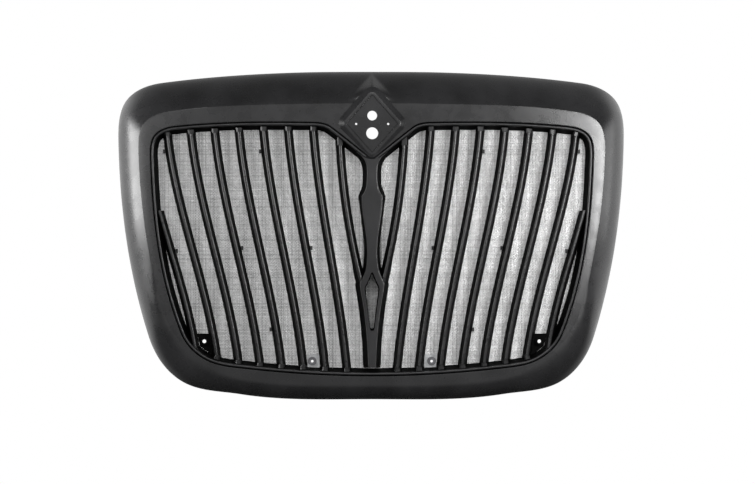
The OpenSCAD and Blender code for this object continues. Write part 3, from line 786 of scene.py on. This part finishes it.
def strand_pieces(axis, at):
    """The stretches of one strand, cut round the fasteners' cut-outs."""
    pieces = spans(edge_loop, axis, at)
    for side_sign in (-1, 1):
        for (x, z), r in SCREEN_CUTS:
            spot = (side_sign * x, z)
            away = at - spot[axis]
            if abs(away) < r:
                half = math.sqrt(r * r - away * away)
                lo, hi = spot[1 - axis] - half, spot[1 - axis] + half
                pieces = [q for a, b in pieces
                          for q in ((a, min(b, lo)), (max(a, hi), b)) if q[1] - q[0] > PITCH]
    return pieces


def strand_tone(k, axis):
    """One strand's share of the full tone: slow bands, and a jump from strand to strand."""
    drift = 0.25 * math.sin(0.5 * k + 1.3 * math.sin(0.17 * k)) + 0.25 * wobble(k, 9)
    return np.clip(0.76 + 0.55 * drift * (1.6 if axis == 0 else 0.7), 0.45, 1.0)


def build_strands(axis):
    """Flat strands one way: axis 0 runs up and down, axis 1 from side to side."""
    lo, hi = edge_loop[:, axis].min(), edge_loop[:, axis].max()
    first, last = math.ceil(lo / PITCH), math.floor(hi / PITCH)
    groups = [([], [], [], []) for _ in range(STRAND_GROUPS)]
    for k in range(first, last + 1):
        group = (k - first) * STRAND_GROUPS // (last - first + 1)
        rows_out, faces_out, uvs, tones = groups[group]
        at = k * PITCH + 0.22 * wobble(k, 3 + axis)
        width = STRAND_W * (1 + 0.08 * wobble(k, 5 + axis)) / 2
        for a, b in strand_pieces(axis, at):
            if b - a < 2 * PITCH:
                continue
            steps = np.arange(math.ceil(a / PITCH), math.floor(b / PITCH) + 1)
            run = np.concatenate([[a], steps * PITCH, [b]])
            # over one strand and under the next
            crossing = np.concatenate([[steps[0] - 1], steps, [steps[-1] + 1]]) + k + axis
            over = np.where(crossing % 2 == 0, 1.0, -1.0) * 0.5 * STRAND_T
            section = np.array([(-width, 0), (0, -0.5), (width, 0), (0, 0.5)])
            n = len(run)
            p = np.empty((n, 4, 3))
            across = at + section[:, 0][None, :]
            along = run[:, None]
            x, z = (across, along) if axis == 0 else (along, across)
            p[..., 0] = np.broadcast_to(x, (n, 4))
            p[..., 2] = np.broadcast_to(z, (n, 4))
            p[..., 1] = (face_y(p[..., 0], p[..., 2]) + SCREEN_DEPTH
                         + over[:, None] + section[:, 1][None, :] * STRAND_T)
            base = sum(len(r) for r in rows_out)
            rows_out.append(p.reshape(-1, 3))
            faces_out.append(grid_faces(n, 4) + base)
            u = np.repeat(np.stack([np.arange(4), np.arange(4) + 1], 1)[None] / 4, n - 1, 0)
            uvs.append((u.reshape(-1, 2), np.repeat((run[:-1] - a) / (b - a), 4),
                        np.repeat((run[1:] - a) / (b - a), 4)))
            # painted shade: the strands darken towards the top
            top_shading = 1.0 - TOP_SHADE_AMOUNT * smooth((p[..., 2] - TOP_SHADE_FROM) / TOP_SHADE_SPAN)
            tones.append(strand_tone(k, axis) * top_shading.reshape(-1))
    tag = "up" if axis == 0 else "across"
    for g, (rows_out, faces_out, uvs, tones) in enumerate(groups):
        verts, faces = np.concatenate(rows_out), np.concatenate(faces_out)
        mesh = bpy.data.meshes.new(f"strands_{tag}_{g}")
        mesh.vertices.add(len(verts))
        mesh.vertices.foreach_set("co", to_row(verts).astype(np.float32).ravel())
        mesh.loops.add(faces.size)
        mesh.loops.foreach_set("vertex_index", faces.astype(np.int32).ravel())
        mesh.polygons.add(len(faces))
        mesh.polygons.foreach_set("loop_start", np.arange(len(faces), dtype=np.int32) * 4)
        mesh.update(calc_edges=True)
        mesh.validate()
        tone = mesh.attributes.new("tone", "FLOAT", "POINT")
        tone.data.foreach_set("value", np.concatenate(tones).astype(np.float32))
        # each strand is one narrow column of the map
        count = len(uvs)
        cells = []
        for row, (u, v0, v1) in enumerate(uvs):
            u0, u1 = (row + u[:, 0]) / count, (row + u[:, 1]) / count
            cells.append(np.stack([np.stack([u0, v0], 1), np.stack([u1, v0], 1),
                                   np.stack([u1, v1], 1), np.stack([u0, v1], 1)], 1))
        layer = mesh.uv_layers.new(name="OFBake")
        layer.data.foreach_set("uv", np.concatenate(cells).astype(np.float32).ravel())
        if axis == 1:
            mesh.flip_normals()
        piece = bpy.data.objects.new(mesh.name, mesh)
        bpy.context.scene.collection.objects.link(piece)
        dress(piece, WIRE, ["bug_screen"], 0)
        piece.data.shade_smooth()


# --- Kept CAD pieces --------------------------------------------------------------------
KEPT = {
    # the dark centre strip behind the screen darkens the screen inside the spine's lens; it
    # stands in for the shade there
    "screen_centre_strip": RETAINER, "centre_strip_screws": ZINC,
    "badge_push_nuts": ZINC, "insert_flange": INSERT, "insert_lip": INSERT,
    "screen_retainer": RETAINER, "retainer_screws": ZINC, "screen_snaps": RETAINER,
    "corner_tab_left": INSERT, "corner_tab_right": INSERT, "nut_plate_left": PLATE,
    "nut_plate_right": PLATE, "hex_nut_left": DARK_STEEL, "hex_nut_right": DARK_STEEL,
    "upper_bracket_left": COATED, "upper_bracket_right": COATED, "bracket_screws": ZINC,
    "insert_screws": ZINC,
}


def dress_kept():
    for name, material in KEPT.items():
        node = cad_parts[name]
        node.data.materials.clear()
        node.data.materials.append(material)


# --- Studio -----------------------------------------------------------------------------
CAMERA_FROM = 20.0
CAMERA_TURN = 1.0
SENSOR_W = 36.0
SHOT_W = 1.716
AIM = Vector((0.0130, 0.018, 0.2255))
FLOOR_HALF, FLOOR_Z = 6.0, -2.6
ROOM_BASE = 0.04


def softbox(name, place, target, width, height, power):
    """White rectangular light aimed at a point, hidden from the camera."""
    data = bpy.data.lights.new(name, "AREA")
    data.shape = "RECTANGLE"
    data.size = width
    data.size_y = height
    data.energy = power
    lamp = bpy.data.objects.new(name, data)
    bpy.context.scene.collection.objects.link(lamp)
    lamp.location = place
    lamp.rotation_mode = "QUATERNION"
    lamp.rotation_quaternion = (Vector(target) - Vector(place)).to_track_quat("-Z", "Y")
    lamp.visible_camera = False


def build_studio():
    softbox("left_box", (-1.80, 0.02, 0.46), (-0.50, 0.02, 0.40), 0.95, 0.78, 28)
    softbox("right_side", (1.80, 0.02, 0.46), (0.50, 0.02, 0.40), 0.95, 0.78, 6.5)
    softbox("left_front", (-1.80, -1.38, 0.66), (-0.60, 0.0, 0.45), 0.5, 0.8, 11)
    softbox("right_box", (1.30, -1.38, 0.58), (0.55, 0.0, 0.45), 0.5, 0.78, 32)
    softbox("left_far", (-1.80, -2.40, 0.62), (-0.50, 0.0, 0.42), 0.5, 0.8, 4)
    softbox("high_fill", (0.0, -4.7, 3.2), (0.0, 0.0, 0.25), 4.2, 1.5, 115)


def build_world():
    """White behind the grille for the camera, and a dim graded room for everything else."""
    world = bpy.data.worlds.new("studio")
    bpy.context.scene.world = world
    world.use_nodes = True
    nodes, links = world.node_tree.nodes, world.node_tree.links
    nodes.clear()
    out = nodes.new("ShaderNodeOutputWorld")
    mixer = nodes.new("ShaderNodeMixShader")
    path = nodes.new("ShaderNodeLightPath")
    white = nodes.new("ShaderNodeBackground")
    white.inputs["Color"].default_value = (1, 1, 1, 1)
    white.inputs["Strength"].default_value = 1.0
    room = nodes.new("ShaderNodeBackground")
    coord = nodes.new("ShaderNodeTexCoord")
    split = nodes.new("ShaderNodeSeparateXYZ")
    links.new(coord.outputs["Generated"], split.inputs["Vector"])
    x, y, z = (split.outputs[axis] for axis in "XYZ")

    def eased(value, low, high, tone):
        """0 below low, tone above high, and a soft change between."""
        node = nodes.new("ShaderNodeMapRange")
        node.interpolation_type = "SMOOTHSTEP"
        for name, number in (("From Min", low), ("From Max", high), ("To Max", tone)):
            node.inputs[name].default_value = number
        links.new(value, node.inputs["Value"])
        return node.outputs["Result"]

    # a soft card behind the camera, and white cards behind on both sides
    card = eased(calc(nodes, links, "MULTIPLY", y, -1.0), 0.75, 0.97, 0.50)
    sideways = calc(nodes, links, "SUBTRACT", calc(nodes, links, "ABSOLUTE", x),
                    calc(nodes, links, "MULTIPLY", calc(nodes, links, "ABSOLUTE", z), 0.6))
    behind = calc(nodes, links, "MULTIPLY", eased(sideways, -0.15, 0.45, 1.6),
                  eased(y, 0.1, 0.5, 1.0))
    behind = calc(nodes, links, "MULTIPLY", behind,
                  calc(nodes, links, "ADD", eased(z, -0.5, 0.15, 0.72), 0.28))
    above = calc(nodes, links, "MULTIPLY", eased(z, 0.1, 0.5, 1.0), eased(y, -0.4, 1.1, 0.62))
    total = calc(nodes, links, "ADD", calc(nodes, links, "ADD", card, behind), above)
    total = calc(nodes, links, "ADD", total, ROOM_BASE)
    links.new(total, room.inputs["Strength"])
    links.new(path.outputs["Is Camera Ray"], mixer.inputs["Fac"])
    links.new(room.outputs["Background"], mixer.inputs[1])
    links.new(white.outputs["Background"], mixer.inputs[2])
    links.new(mixer.outputs["Shader"], out.inputs["Surface"])


def build_floor():
    mat, _, _, bsdf = new_material("pale_floor")
    bsdf.inputs["Base Color"].default_value = (0.8, 0.8, 0.8, 1)
    bsdf.inputs["Roughness"].default_value = 0.8
    mesh = bpy.data.meshes.new("studio_floor")
    corners = [(-1, -1), (1, -1), (1, 1), (-1, 1)]
    mesh.from_pydata([(x * FLOOR_HALF, y * FLOOR_HALF, FLOOR_Z) for x, y in corners], [],
                     [(0, 1, 2, 3)])
    floor = bpy.data.objects.new("studio_floor", mesh)
    floor.data.materials.append(mat)
    bpy.context.scene.collection.objects.link(floor)
    floor.visible_glossy = False


def build_camera():
    data = bpy.data.cameras.new("camera")
    data.sensor_width = SENSOR_W
    data.lens = SENSOR_W * CAMERA_FROM / SHOT_W
    data.clip_start = 0.5
    data.clip_end = 100.0
    camera = bpy.data.objects.new("camera", data)
    bpy.context.scene.collection.objects.link(camera)
    turn = math.radians(CAMERA_TURN)
    camera.location = AIM + CAMERA_FROM * Vector((-math.sin(turn), -math.cos(turn), 0.0))
    camera.rotation_mode = "XYZ"
    camera.rotation_euler = (math.pi / 2, 0, -turn)
    bpy.context.scene.camera = camera
    bpy.context.scene.view_settings.view_transform = "Standard"


# --- Assembly ---------------------------------------------------------------------------
build_surround()
build_badge_floor()
build_ring()
for side_sign in (-1, 1):
    for number in range(1, BARS_PER_SIDE + 1):
        build_bar(side_sign, number)
    for upper in (True, False):
        build_sockets(side_sign, upper)
build_spine()
build_strands(0)
build_strands(1)
dress_kept()
build_studio()
build_world()
build_floor()
build_camera()
